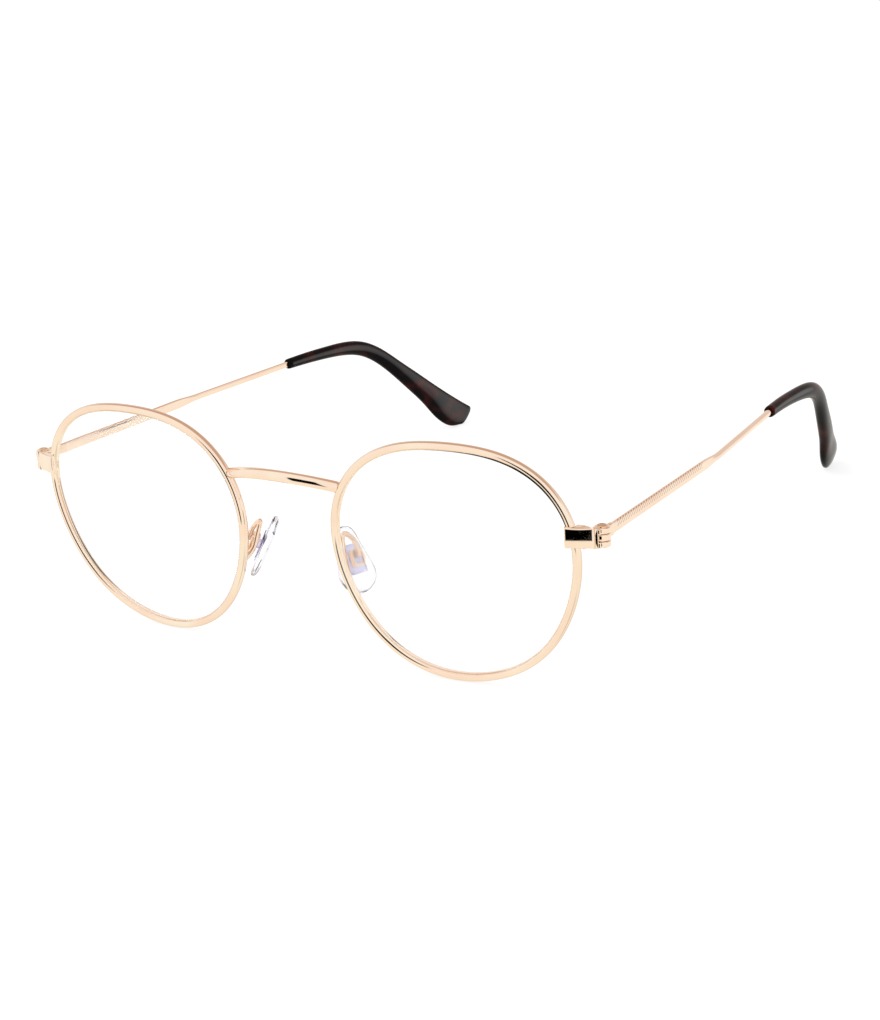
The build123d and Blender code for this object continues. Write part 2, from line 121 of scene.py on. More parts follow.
def curve_through(points, count):
    """Natural cubic spline by chord length, sampled at even steps."""
    points = np.asarray(points, float)
    knots = np.r_[0, np.cumsum(np.linalg.norm(np.diff(points, axis=0), axis=1))]
    n = len(points)
    h = np.diff(knots)
    slopes = np.diff(points, axis=0) / h[:, None]
    system = np.zeros((n, n))
    target = np.zeros((n, points.shape[1]))
    system[0, 0] = system[-1, -1] = 1
    for i in range(1, n - 1):
        system[i, i - 1:i + 2] = h[i - 1], 2 * (h[i - 1] + h[i]), h[i]
        target[i] = 6 * (slopes[i] - slopes[i - 1])
    bend = np.linalg.solve(system, target)     # second derivative at each knot
    out = []
    for x in np.linspace(0, knots[-1], count):
        i = min(max(np.searchsorted(knots, x) - 1, 0), n - 2)
        t = x - knots[i]
        u = knots[i + 1] - x
        out.append((bend[i] * u ** 3 + bend[i + 1] * t ** 3) / (6 * h[i])
                   + (points[i] / h[i] - bend[i] * h[i] / 6) * u
                   + (points[i + 1] / h[i] - bend[i + 1] * h[i] / 6) * t)
    return np.array(out)


def tangents(path):
    steps = np.gradient(path, axis=0)
    return steps / np.linalg.norm(steps, axis=1)[:, None]


def arc_through(a, b, c, count):
    """Points from a to c on the circle through a, b and c."""
    ab, ac = b - a, c - a
    n = np.cross(ab, ac)
    centre = a + (np.cross(np.dot(ab, ab) * ac - np.dot(ac, ac) * ab, n)) / (2 * np.dot(n, n))
    x = unit(a - centre)
    y = np.cross(unit(n), x)
    radius = np.linalg.norm(a - centre)
    sweep = math.atan2(np.dot(c - centre, y), np.dot(c - centre, x))
    t = np.linspace(0, sweep, count)
    return centre + radius * (np.cos(t)[:, None] * x + np.sin(t)[:, None] * y)


def round_box(width, height, radius, per_corner):
    """Rounded rectangle, counter-clockwise, as (x, y) points."""
    out = []
    x, y = width / 2 - radius, height / 2 - radius
    for cx, cy, start in ((x, y, 0), (-x, y, 90), (-x, -y, 180), (x, -y, 270)):
        for k in range(per_corner + 1):
            t = math.radians(start + 90 * k / per_corner)
            out.append((cx + radius * math.cos(t), cy + radius * math.sin(t)))
    return np.array(out)


def squared(x, power):
    """A cosine or sine turned into that of a superellipse; 2 leaves it round."""
    return np.sign(x) * np.abs(x) ** (2 / power)


def quarter_drop(distance, reach):
    """How far a quarter ellipse has fallen, from 0 at its start to 1 at its reach."""
    return 1 - math.sqrt(max(0.0, 1 - (distance / reach) ** 2))


def placed(section, centre, across, up):
    return centre + section[:, :1] * across + section[:, 1:2] * up


def round_wire(path, radius, n, dome_start=True):
    """Round wire of n sides along a path, with a domed end and, if asked, a domed start."""
    along = tangents(path)
    theta = np.linspace(0, 2 * math.pi, n, endpoint=False)
    circle = np.stack([np.cos(theta), np.sin(theta)], 1)
    across = unit(np.cross(along[0], WORLD_UP))
    rings = []

    def dome(end, outward, side, up, degrees):
        for q in degrees:
            t = math.radians(q)
            rings.append(placed(radius * math.cos(t) * circle,
                                end + outward * radius * 0.85 * math.sin(t), side, up))

    for i, direction in enumerate(along):
        across = unit(across - np.dot(across, direction) * direction)
        up = np.cross(direction, across)
        if i == 0 and dome_start:
            dome(path[0], -direction, across, up, (80, 60, 40, 20))
        rings.append(placed(radius * circle, path[i], across, up))
    dome(path[-1], along[-1], across, up, (20, 40, 60, 80))
    return tube(rings)


# ------------------------------------------------------------------ pieces
def build(name, mesh, material, replaced, body="front", slot="metal", mirror=False,
          sharp_deg=None, engraved=None, inlay=None):
    """Makes a piece in the scene; an inlay is (material, ring size, blocks of faces in it)."""
    verts, faces = mesh
    verts = verts.copy()
    faces = [tuple(face) for face in faces]
    if mirror:
        verts[:, 0] *= -1
        faces = [face[::-1] for face in faces]
    verts = (verts + LENS_MIDPOINT) * MM
    me = bpy.data.meshes.new(name)
    me.from_pydata([tuple(p) for p in verts], [], faces)
    me.validate()
    me.update()
    me.shade_smooth()
    if sharp_deg is not None:
        me.set_sharp_from_angle(angle=math.radians(sharp_deg))
    # amount of painted shade and painted reflection at each point, read by the gold materials
    if engraved is not None:
        attribute = me.attributes.new("engraved", "FLOAT", "POINT")
        attribute.data.foreach_set("value", np.asarray(engraved, np.float32))
    ob = bpy.data.objects.new(name, me)
    bpy.context.scene.collection.objects.link(ob)
    me.materials.append(material)
    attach(ob, body)
    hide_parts(replaced)
    if inlay:
        inlay_material, ring_size, blocks = inlay
        me.materials.append(inlay_material)
        # face numbers only hold if validation dropped no face
        if len(me.polygons) == len(faces):
            for k, polygon in enumerate(me.polygons):
                if k // ring_size in blocks:
                    polygon.material_index = 1


def build_side(side, name, mesh, material, replaced, body="front", **options):
    """One side's piece; {} in the body stands for the side."""
    build(f"{side}_{name}", mesh, material, f"{side}_{replaced}", body=body.format(side),
          mirror=side == "right", **options)


def build_pair(*piece, **options):
    for side in SIDES:
        build_side(side, *piece, **options)


# ------------------------------------------------------------------ shader nodes
def add_node(tree, kind, inputs=None, **settings):
    """Adds a shader node; an input given a socket is linked, any other is set."""
    node = tree.nodes.new("ShaderNode" + kind)
    for key, value in settings.items():
        setattr(node, key, value)
    for key, value in (inputs or {}).items():
        if isinstance(value, bpy.types.NodeSocket):
            tree.links.new(value, node.inputs[key])
        else:
            node.inputs[key].default_value = value
    return node


def noise(tree, vector, scale, **inputs):
    inputs.update(Vector=vector, Scale=scale)
    return add_node(tree, "TexNoise", inputs).outputs["Fac"]


def map_range(tree, value, source=(0, 1), target=(0, 1), kind="LINEAR"):
    return add_node(tree, "MapRange", {
        "Value": value, "From Min": source[0], "From Max": source[1],
        "To Min": target[0], "To Max": target[1]}, interpolation_type=kind).outputs["Result"]


def calculate(tree, operation, first, second):
    return add_node(tree, "Math", {0: first, 1: second}, operation=operation).outputs[0]


def color_ramp(tree, fac, *stops):
    """Color ramp through (position, color) stops."""
    ramp = add_node(tree, "ValToRGB", {"Fac": fac})
    elements = ramp.color_ramp.elements
    for element, (position, color) in ((elements[0], stops[0]), (elements[1], stops[-1])):
        element.position = position
        element.color = (*color, 1)
    for position, color in stops[1:-1]:
        elements.new(position).color = (*color, 1)
    return ramp.outputs["Color"]


def bump(tree, height, strength, distance):
    return add_node(tree, "Bump", {"Height": height, "Strength": strength,
                                   "Distance": distance}).outputs["Normal"]


def mirrored_toward(tree, coords, direction):
    """How nearly the mirrored ray points in a direction."""
    return add_node(tree, "VectorMath", {0: coords.outputs["Reflection"], 1: direction},
                    operation="DOT_PRODUCT").outputs["Value"]


def new_material(name):
    """An empty material, its node tree and the socket for its surface."""
    material = bpy.data.materials.new(name)
    material.use_nodes = True
    tree = material.node_tree
    tree.nodes.clear()
    return material, tree, add_node(tree, "OutputMaterial").inputs["Surface"]


# ------------------------------------------------------------------ materials
def gold(name, base=(0.95, 0.80, 0.64), tint=(0.93, 0.70, 0.54), rough=0.045,
         mark_color=None, mark_toward=None, specular_tint=None):
    """Plated metal. An attribute of painted shade and painted reflection turns it to
    mark_color; where mark_toward is given, only where the mirrored ray points that way."""
    material, tree, surface = new_material(name)
    coords = add_node(tree, "TexCoord")
    place = coords.outputs["Object"]
    # the plating varies slowly between its two tones
    color = color_ramp(tree, noise(tree, place, scale=90, Detail=2), (0.35, base), (0.75, tint))
    # polishing haze, then fine unevenness
    roughness = map_range(tree, noise(tree, place, scale=900, Detail=4),
                          source=(0.3, 0.8), target=(rough, rough + 0.07))
    normal = bump(tree, noise(tree, place, scale=350, Detail=2),
                  strength=0.035, distance=0.00015)
    if mark_color:
        amount = add_node(tree, "Attribute", attribute_name="engraved").outputs["Fac"]
        if mark_toward:
            window = map_range(tree, mirrored_toward(tree, coords, mark_toward),
                               source=(0.42, 0.50), kind="SMOOTHSTEP")
            amount = calculate(tree, "MULTIPLY", window, amount)
        # 0 is the factor, 6 and 7 are the two colors
        color = add_node(tree, "Mix", {0: amount, 6: color, 7: (*mark_color, 1)},
                         data_type="RGBA").outputs[2]
    metal = add_node(tree, "BsdfPrincipled", {
        "Metallic": 1.0, "Base Color": color, "Roughness": roughness, "Normal": normal})
    if specular_tint:
        metal.inputs["Specular Tint"].default_value = (*specular_tint, 1)
    tree.links.new(metal.outputs["BSDF"], surface)
    return material


def clear(name, ior, tint, rough, haze, noise_scale, see_through=0.0, painted_edge_shade=None):
    """Clear plastic or glass that lets shadow and diffuse rays pass freely.

    see_through is the least share of plain transparency for all other rays."""
    material, tree, surface = new_material(name)
    place = add_node(tree, "TexCoord").outputs["Object"]
    roughness = map_range(tree, noise(tree, place, scale=noise_scale, Detail=3),
                          target=(rough, rough + haze))
    glass = add_node(tree, "BsdfPrincipled", {
        "Base Color": (*tint, 1), "Transmission Weight": 1.0, "IOR": ior,
        "Roughness": roughness})
    # painted shade: seen edge-on, the colour turns towards the darker edge colour
    if painted_edge_shade:
        facing = add_node(tree, "LayerWeight", {"Blend": 0.45}).outputs["Facing"]
        tree.links.new(color_ramp(tree, facing, (0.30, tint), (0.88, painted_edge_shade)),
                       glass.inputs["Base Color"])
    passing = add_node(tree, "BsdfTransparent", {"Color": (*[0.5 + 0.5 * c for c in tint], 1)})
    rays = add_node(tree, "LightPath").outputs
    free = calculate(tree, "MAXIMUM", rays["Is Shadow Ray"], rays["Is Diffuse Ray"])
    share = calculate(tree, "MAXIMUM", free, see_through)
    mixed = add_node(tree, "MixShader", {"Fac": share, 1: glass.outputs["BSDF"],
                                         2: passing.outputs["BSDF"]})
    tree.links.new(mixed.outputs["Shader"], surface)
    return material


def ground_edge(name, color):
    """Edge of a lens with painted light: a self-lit, slightly uneven glow half mixed with
    transparency.
    """
    material, tree, surface = new_material(name)
    place = add_node(tree, "TexCoord").outputs["Object"]
    uneven = color_ramp(tree, noise(tree, place, scale=1500),
                        (0, [c * 0.96 for c in color]), (1, [min(1, c * 1.04) for c in color]))
    glow = add_node(tree, "Emission", {"Color": uneven}).outputs[0]
    passing = add_node(tree, "BsdfTransparent").outputs[0]
    mixed = add_node(tree, "MixShader", {"Fac": 0.55, 1: glow, 2: passing})
    tree.links.new(mixed.outputs[0], surface)
    return material


def tortoise(name):
    """Nearly black plastic with dark red patches."""
    material, tree, surface = new_material(name)
    coords = add_node(tree, "TexCoord")
    place = coords.outputs["Object"]
    stretched = add_node(tree, "Mapping", {"Vector": place, "Scale": (1.0, 0.55, 1.0)})
    patches = noise(tree, stretched.outputs["Vector"], scale=190, Detail=3, Distortion=0.8)
    color = color_ramp(tree, patches, (0.46, (0.0040, 0.0032, 0.0034)),
                       (0.58, (0.018, 0.0050, 0.0045)), (0.74, (0.058, 0.010, 0.007)))
    grain = noise(tree, place, scale=1400)
    normal = bump(tree, grain, strength=0.03, distance=0.0001)
    roughness = map_range(tree, grain, target=(0.10, 0.20))
    # painted highlight: the gloss is strong only where the mirrored ray points to the back and
    # to +X
    toward = mirrored_toward(tree, coords, (0.60, 0.79, -0.12))
    painted_highlight_gloss = map_range(tree, toward, source=(0.90, 0.995), target=(0.035, 0.50),
                      kind="SMOOTHSTEP")
    plastic = add_node(tree, "BsdfPrincipled", {
        "IOR": 1.49, "Specular IOR Level": painted_highlight_gloss, "Base Color": color,
        "Roughness": roughness, "Normal": normal})
    tree.links.new(plastic.outputs["BSDF"], surface)
    return material


GOLD = gold("champagne_plate")
# painted reflection: a rim's inner rounding is painted near black where its mirrored ray points
# low towards -X
RIM_GOLD = gold("champagne_rim", mark_color=(0.006, 0.005, 0.004),
                mark_toward=(-0.835, 0.147, -0.53), specular_tint=(0.75, 0.70, 0.66))
WIRE_GOLD = gold("rose_wire", base=(0.95, 0.76, 0.60), tint=(0.92, 0.67, 0.52), rough=0.07)
# painted shade: the metal is painted darker at the bottom of the engraved strokes
TEMPLE_GOLD = gold("rose_engraved", base=(0.96, 0.78, 0.62), tint=(0.93, 0.70, 0.55),
                   rough=0.07, mark_color=(0.30, 0.17, 0.12))
SCREW_GOLD = gold("screw_plate", base=(0.90, 0.72, 0.56), tint=(0.86, 0.63, 0.47), rough=0.10)
LENS_CLEAR = clear("lens_clear", ior=1.50, tint=(0.995, 0.998, 0.997), rough=0.0, haze=0.0,
                   noise_scale=60, see_through=0.93)
# painted light: the lens edge glows pale brown rather than taking light
LENS_EDGE = ground_edge("lens_edge", color=(0.62, 0.47, 0.37))
# painted shade: the pad turns darker lilac where seen edge-on
PAD_CLEAR = clear("pad_clear", ior=1.41, tint=(0.962, 0.962, 0.990), rough=0.02, haze=0.06,
                  noise_scale=300, painted_edge_shade=(0.70, 0.70, 0.86))
# painted shade: the insert turns near black where seen edge-on
INSERT_CLEAR = clear("insert_clear", ior=1.56, tint=(0.66, 0.63, 0.80), rough=0.02, haze=0.05,
                     noise_scale=500, painted_edge_shade=(0.08, 0.06, 0.11))
# painted shade: the pocket walls are drawn dark lilac, a dark outline round the insert
POCKET_PAINTED_SHADE = clear("pad_pocket_painted_shade", ior=1.05, tint=(0.42, 0.36, 0.50), rough=0.05,
                    haze=0.1, noise_scale=700, painted_edge_shade=(0.20, 0.15, 0.26))
BOX_LILAC = gold("box_face", base=(0.72, 0.68, 0.80), tint=(0.52, 0.47, 0.62), rough=0.10)
TORTOISE = tortoise("dark_tortoise")

# ------------------------------------------------------------------ plane of the front
LENS_X = 36.30                     # lens centre from the middle
WRAP, TILT = math.radians(2.97), math.radians(3.10)
LENS_ACROSS = np.array([math.cos(WRAP), math.sin(WRAP) * math.cos(TILT),
                        math.sin(WRAP) * math.sin(TILT)])
LENS_UP = np.array([0, -math.sin(TILT), math.cos(TILT)])
LENS_FORWARD = np.cross(LENS_ACROSS, LENS_UP)

# outline of a lens: mean radius, then cosine and sine terms for 1 to 5 waves a turn
RIM_RADIUS = 24.50
RIM_COS = (0.0, 0.972, 0.080, -0.324, -0.063)
RIM_SIN = (0.0, 0.407, 0.851, -0.008, 0.053)


def rim_radius(angle):
    radius = np.full_like(np.asarray(angle, float), RIM_RADIUS)
    for k in range(1, 6):
        radius = radius + RIM_COS[k - 1] * np.cos(k * angle) + RIM_SIN[k - 1] * np.sin(k * angle)
    return radius


def rim_point(angle, offset=0.0):
    """Outline point in the lens plane, moved outward by the offset."""
    angle = np.asarray(angle, float)
    r = rim_radius(angle)
    slope = (rim_radius(angle + 1e-4) - rim_radius(angle - 1e-4)) / 2e-4
    cos, sin = np.cos(angle), np.sin(angle)
    tx, ty = slope * cos - r * sin, slope * sin + r * cos
    n = np.hypot(tx, ty)
    return np.stack([r * cos + offset * ty / n, r * sin - offset * tx / n], -1)


def on_front(flat, forward):
    """Points of the lens plane, raised forward, in the frame of the spectacles."""
    return (np.array([LENS_X, 0, 0]) + flat[..., :1] * LENS_ACROSS
            + flat[..., 1:2] * LENS_UP + forward[..., None] * LENS_FORWARD)


def lean(point):
    """Tilts an upright point with the front."""
    x, y, z = point
    return np.array([x, y * math.cos(TILT) - z * math.sin(TILT),
                     y * math.sin(TILT) + z * math.cos(TILT)])


# ------------------------------------------------------------------ eyewires
SPLIT_HEIGHT = 8.15                # where the rim is cut, on its outer side
HALF_GAP = 0.06
RIM_HALF_WIDTH, RIM_HALF_DEPTH, RIM_POWER = 0.82, 0.95, 2.25
RIM_STATIONS = 560
# the lens groove in the inner side: outward, forward
LENS_GROOVE = [(-0.80, 0.30), (-0.58, 0.16), (-0.42, 0.0), (-0.58, -0.16), (-0.80, -0.30)]
# which part of the inner rounding gets the painted reflection, near black: angle round the rim
# in degrees, and how far outward in the section it reaches there
PAINTED_REFLECTION_LIMITS = {
    "left": ([18, 30, 48, 75, 96, 108, 120],
             [-0.30, -0.10, 0.0, -0.30, -0.58, -0.80, -1.2]),
    "right": ([120, 134, 150, 166, 178, 190],
              [-1.2, -0.62, -0.25, -0.35, -0.80, -1.2])}


def rim_section():
    """Section of the eyewire as (outward, forward)."""
    section = []
    for q in np.linspace(-160, 160, 45):
        t = math.radians(q)
        section.append((RIM_HALF_WIDTH * squared(math.cos(t), RIM_POWER),
                        RIM_HALF_DEPTH * squared(math.sin(t), RIM_POWER)))
    return np.array(section + LENS_GROOVE)


def rim_angles():
    """Angles once round the rim, from one side of the split to the other."""
    split = 0.32
    for _ in range(30):
        split += (SPLIT_HEIGHT - rim_point(split)[1]) / RIM_RADIUS
    half_gap = HALF_GAP / float(rim_radius(split))
    return split + half_gap + np.linspace(0, 1, RIM_STATIONS) * (2 * math.pi - 2 * half_gap)


def build_rims():
    section, angles = rim_section(), rim_angles()
    centres = rim_point(angles)
    outward = rim_point(angles, 1.0) - centres
    mesh = tube([on_front(centre + section[:, :1] * out, section[:, 1])
                 for centre, out in zip(centres, outward)])
    for side in SIDES:
        # painted reflection: the near-black band on the inner rounding, for each side
        limit = np.interp(np.degrees(angles), *PAINTED_REFLECTION_LIMITS[side])
        marks = (np.clip((limit[:, None] - section[None, :, 0]) / 0.06 + 0.5, 0, 1)
                 * (section[None, :, 1] > -0.2))
        # the two end cap middles are unmarked
        build_side(side, "rim_wire", mesh, RIM_GOLD, "eyewire", sharp_deg=50,
                   engraved=np.concatenate([marks.ravel(), np.zeros(2)]))


build_rims()

# ------------------------------------------------------------------ lenses
FRONT_RADIUS, BACK_RADIUS = 130.0, 313.0
LENS_HALF_EDGE = 0.75              # half the thickness at the reach below
LENS_REACH = 24.0
LENS_BEVEL = 0.05
# rings of each face, as shares of the outline
LENS_SHARES = [0.06, 0.14, 0.24, 0.36, 0.5, 0.64, 0.78, 0.88, 0.95, 0.985, 0.996, 1.0]


def build_lenses():
    angles = np.linspace(0, 2 * math.pi, 240, endpoint=False)
    edge = rim_point(angles, -0.46)
    front_apex = LENS_HALF_EDGE + LENS_REACH ** 2 / (2 * FRONT_RADIUS)
    back_apex = -LENS_HALF_EDGE + LENS_REACH ** 2 / (2 * BACK_RADIUS)

    def face_ring(share, apex, radius, bevel):
        flat = edge * share
        height = apex - (radius - np.sqrt(radius * radius - (flat ** 2).sum(-1)))
        return on_front(flat, height + (bevel if share == 1.0 else 0.0))

    rings = [face_ring(k, front_apex, FRONT_RADIUS, -LENS_BEVEL) for k in LENS_SHARES]
    # the rim of the lens stands out a little at mid thickness
    for flat, forward in ((edge, 0.45), (rim_point(angles, -0.43), 0.0), (edge, -0.45)):
        rings.append(on_front(flat, np.full(len(angles), forward)))
    rings += [face_ring(k, back_apex, BACK_RADIUS, LENS_BEVEL) for k in LENS_SHARES[::-1]]
    verts, faces = tube(rings)
    # the cap middles go to the apexes
    verts[-2:] = on_front(np.zeros((2, 2)), np.array([front_apex, back_apex]))
    first = len(LENS_SHARES) - 1
    build_pair("lens_glass", flipped((verts, faces)), LENS_CLEAR, "lens", slot="lens",
               sharp_deg=35, inlay=(LENS_EDGE, len(angles), range(first, first + 4)))


build_lenses()

# ------------------------------------------------------------------ bridge
BRIDGE_X, BRIDGE_Y, BRIDGE_Z = 12.36, -1.12, 12.06     # its end, before the tilt
BRIDGE_TOP = (0, -4.61, 14.34)
bridge_path = arc_through(lean((-BRIDGE_X, BRIDGE_Y, BRIDGE_Z)), lean(BRIDGE_TOP),
                          lean((BRIDGE_X, BRIDGE_Y, BRIDGE_Z)), 90)
build("bridge_wire", flipped(round_wire(bridge_path, 1.125, n=40)), GOLD, "bridge")

# ------------------------------------------------------------------ temples
FLAT_START, FLAT_END = np.array([66.25, 6.20, 8.115]), np.array([65.54, 46.50, 7.256])
WIRE_START, WIRE_END = np.array([65.40, 54.00, 7.096]), np.array([62.72, 86.06, 6.72])
WIRE_RADIUS = 0.70
WIRE_OVERLAP = 0.6                 # how far the wire goes on into the tip
FLAT_WIDTH, FLAT_HEIGHT, FLAT_CORNER = 0.80, 2.10, 0.30
# the engraving: slanting strokes across the outer side
STROKE_PITCH, STROKE_SLANT = 1.10, 1.20
STROKE_HALF = 0.19                 # half a stroke's width, as a share of the pitch
STROKE_DEPTH = 0.085


def temple_section():
    """Section of the flat as (outward, up), with many points down the outer side."""
    half = FLAT_WIDTH / 2
    reach = FLAT_HEIGHT / 2 - FLAT_CORNER
    outer = [(half, z) for z in np.linspace(-reach, reach, 27)]
    rest = [tuple(p) for p in round_box(FLAT_WIDTH, FLAT_HEIGHT, FLAT_CORNER, 4)
            if abs(p[0] - half) >= 1e-6]
    rest.sort(key=lambda p: math.atan2(p[1], p[0]) % (2 * math.pi))
    loop = np.array(outer + rest)
    # long steps along the top, which is engraved too, are split in four
    fine = []
    for a, b in zip(loop, np.roll(loop, -1, 0)):
        fine.append(a)
        if a[1] > 0.7 and b[1] > 0.7 and np.hypot(*(b - a)) > 0.15:
            fine += [a + (b - a) * share for share in (0.25, 0.5, 0.75)]
    return np.array(fine)


def axes_across(along):
    """Outward and upward axes of a section square to a direction."""
    across = unit(np.cross(along, WORLD_UP))
    return across, np.cross(across, along)


def build_temples():
    section = temple_section()
    edges = np.roll(section, -1, 0) - np.roll(section, 1, 0)
    normals = (np.stack([edges[:, 1], -edges[:, 0]], 1)
               / np.hypot(edges[:, 0], edges[:, 1])[:, None])
    # how strongly each point of the section is engraved
    cover = (np.clip((section[:, 1] + 0.10) / 0.08, 0, 1)
             * np.clip((section[:, 0] - 0.02) / 0.10, 0, 1))
    # height measured on round the upper corner
    height = section[:, 1] + 0.6 * (FLAT_WIDTH / 2 - section[:, 0])

    flat_along = unit(FLAT_END - FLAT_START)
    flat_axes = axes_across(flat_along)
    length = np.linalg.norm(FLAT_END - FLAT_START)
    steps = int(length / 0.07)
    rings, depths = [], []
    for i in range(steps + 1):
        s = length * i / steps
        fade = min(1, max(0, (s - 1.2) / 0.4)) * min(1, max(0, (length - 1.0 - s) / 0.4))
        phase = ((s - STROKE_SLANT * height) / STROKE_PITCH) % 1.0
        depth = fade * cover * np.maximum(0.0, 1 - np.abs(phase - 0.5) / STROKE_HALF)
        depths += list(depth)
        cut = section - STROKE_DEPTH * depth[:, None] * normals
        rings.append(placed(cut, FLAT_START + flat_along * s, *flat_axes))

    # blend from the flat to the round wire
    angle = np.arctan2(section[:, 1], section[:, 0])
    circle = np.stack([WIRE_RADIUS * np.cos(angle), WIRE_RADIUS * np.sin(angle)], 1)
    wire_along = unit(WIRE_END - WIRE_START)
    for i in range(1, 25):
        t = i / 24
        w = t * t * (3 - 2 * t)
        axes = axes_across(unit(flat_along * (1 - w) + wire_along * w))
        rings.append(placed(section * (1 - w) + circle * w,
                            FLAT_END + (WIRE_START - FLAT_END) * t, *axes))
    wire_axes = axes_across(wire_along)
    for i in range(1, 30):
        rings.append(placed(circle, WIRE_START + (WIRE_END - WIRE_START) * i / 29, *wire_axes))
    for i in range(1, 5):
        rings.append(placed(circle, WIRE_END + wire_along * WIRE_OVERLAP * i / 4, *wire_axes))
    mesh = tube(rings)
    # painted shade in the strokes, darkest where they are cut deepest
    marks = np.zeros(len(mesh[0]))
    marks[:len(depths)] = np.array(depths) * 0.85
    build_pair("temple_wire", flipped(mesh), TEMPLE_GOLD, "temple", body="{}_arm",
               sharp_deg=70, engraved=marks)


build_temples()

# ------------------------------------------------------------------ temple tips
# sleeve stations: centre x, y, z, half height, half thickness
SLEEVE = [(*WIRE_END, 1.24, 1.24), (62.19, 93.60, 6.42, 1.38, 1.27),
          (61.79, 101.07, 5.86, 1.50, 1.30), (61.45, 108.40, 5.02, 1.68, 1.32),
          (60.85, 115.34, 3.30, 1.84, 1.35), (59.85, 121.30, 0.05, 1.95, 1.38),
          (58.44, 126.75, -4.50, 2.15, 1.40), (57.00, 132.00, -9.30, 2.60, 1.38),
          (55.60, 136.80, -13.90, 3.10, 1.34)]
AFTER_SLEEVE = (53.6, 143.0, -19.3)      # sets the direction at the last station
# blade stations: x, upper edge (y, z), lower edge (y, z), half thickness
BLADE = [(54.35, (143.7, -15.40), (137.6, -20.25), 1.26),
         (53.45, (147.6, -18.30), (140.6, -23.10), 1.18),
         (52.80, (149.9, -20.00), (143.3, -24.50), 1.06),
         (52.25, (151.5, -21.15), (146.1, -24.90), 0.88)]
# the mouth of the sleeve: radius, distance along
SLEEVE_MOUTH = [(0.76, 0.16), (0.80, 0.04), (0.90, -0.02), (1.03, 0.02), (1.14, 0.12),
                (1.21, 0.28)]
BLADE_END_ALONG = unit((-0.22, 0.70, -0.67))
BLADE_POWER = 2.45
TIP_LOWEST = 0.02 - LENS_MIDPOINT[2]     # just above the floor


def tip_stations():
    """Centres, upward half heights and half thicknesses, smoothly resampled."""
    centres = [np.array(station[:3]) for station in SLEEVE]
    halves, thick = [], []
    for station, along in zip(SLEEVE, tangents(np.array(centres + [np.array(AFTER_SLEEVE)]))):
        across = unit(np.array([1.0, 0, 0]) - along * along[0])
        halves.append(np.cross(across, along) * station[3])
        thick.append(station[4])
    for x, upper, lower, half_thick in BLADE:
        top, bottom = np.array([x, *upper]), np.array([x, *lower])
        centres.append((top + bottom) / 2)
        halves.append((top - bottom) / 2)
        thick.append(half_thick)
    full = curve_through(np.hstack([centres, halves, np.array(thick)[:, None]]), 230)
    return full[:, :3], full[:, 3:6], full[:, 6]


def tip_ring(centre, along, half, thick, power):
    theta = np.linspace(0, 2 * math.pi, 64, endpoint=False)
    across = unit(np.cross(along, unit(half)))
    x, y = squared(np.cos(theta), power), squared(np.sin(theta), power)
    return centre + thick * x[:, None] * across + y[:, None] * half


def build_tips():
    path, halves, thick = tip_stations()
    along = tangents(path)
    rings = [tip_ring(path[0] + along[0] * distance, along[0], unit(halves[0]) * radius,
                      radius, 2.0) for radius, distance in SLEEVE_MOUTH]
    for i in range(3, len(path)):
        # squarer where it is flatter
        flatness = min(1.0, max(0.0, np.linalg.norm(halves[i]) / thick[i] - 1.1))
        rings.append(tip_ring(path[i], along[i], halves[i], thick[i], 2.0 + 0.45 * flatness))
    # the end turns over: each ring smaller, carried on along the blade
    for q in (18, 34, 48, 60, 70, 79, 86):
        t = math.radians(q)
        centre = (path[-1] + BLADE_END_ALONG * 1.15 * math.sin(t)
                  + unit(halves[-1]) * 0.35 * math.sin(t))
        rings.append(tip_ring(centre, BLADE_END_ALONG, halves[-1] * math.cos(t) ** 0.62,
                              thick[-1] * math.cos(t) ** 0.75, BLADE_POWER))
    verts, faces = tube(rings)
    verts[:, 2] = np.maximum(verts[:, 2], TIP_LOWEST)
    build_pair("tip_sleeve", (verts, faces), TORTOISE, "temple_tip", body="{}_arm",
               slot="tip", sharp_deg=60)


build_tips()

# ------------------------------------------------------------------ nose pads
PAD_CENTRE = np.array([10.63, 4.00, -4.90])
PAD_DOWN = unit((0.409, -0.177, -0.895))
PAD_OUT = unit((0.782, -0.438, 0.444))         # away from the nose, towards the pad box
PAD_ACROSS = unit(np.cross(-PAD_DOWN, PAD_OUT))
PAD_UP = np.cross(PAD_OUT, PAD_ACROSS)
PAD_TOP_RADIUS, PAD_BOTTOM_RADIUS, PAD_LENGTH = 2.20, 3.95, 13.60
PAD_POINTS = 96
# share of the outline, distance out; from the nose side round to the raised land
PAD_BODY = [(0.08, -1.10), (0.25, -1.10), (0.45, -1.09), (0.62, -1.05), (0.76, -0.95),
            (0.87, -0.78), (0.945, -0.55), (0.985, -0.28), (1.0, 0.0), (0.99, 0.22),
            (0.965, 0.40), (0.92, 0.52), (0.86, 0.58), (0.76, 0.60), (0.66, 0.66),
            (0.60, 0.74), (0.55, 0.80)]
# pocket for the insert: half width, half height, distance out; from the land to its floor
PAD_POCKET = [(2.02, 2.97, 0.80), (1.97, 2.92, 0.74), (1.97, 2.92, 0.20),
              (1.90, 2.86, 0.13), (0.9, 1.5, 0.13)]


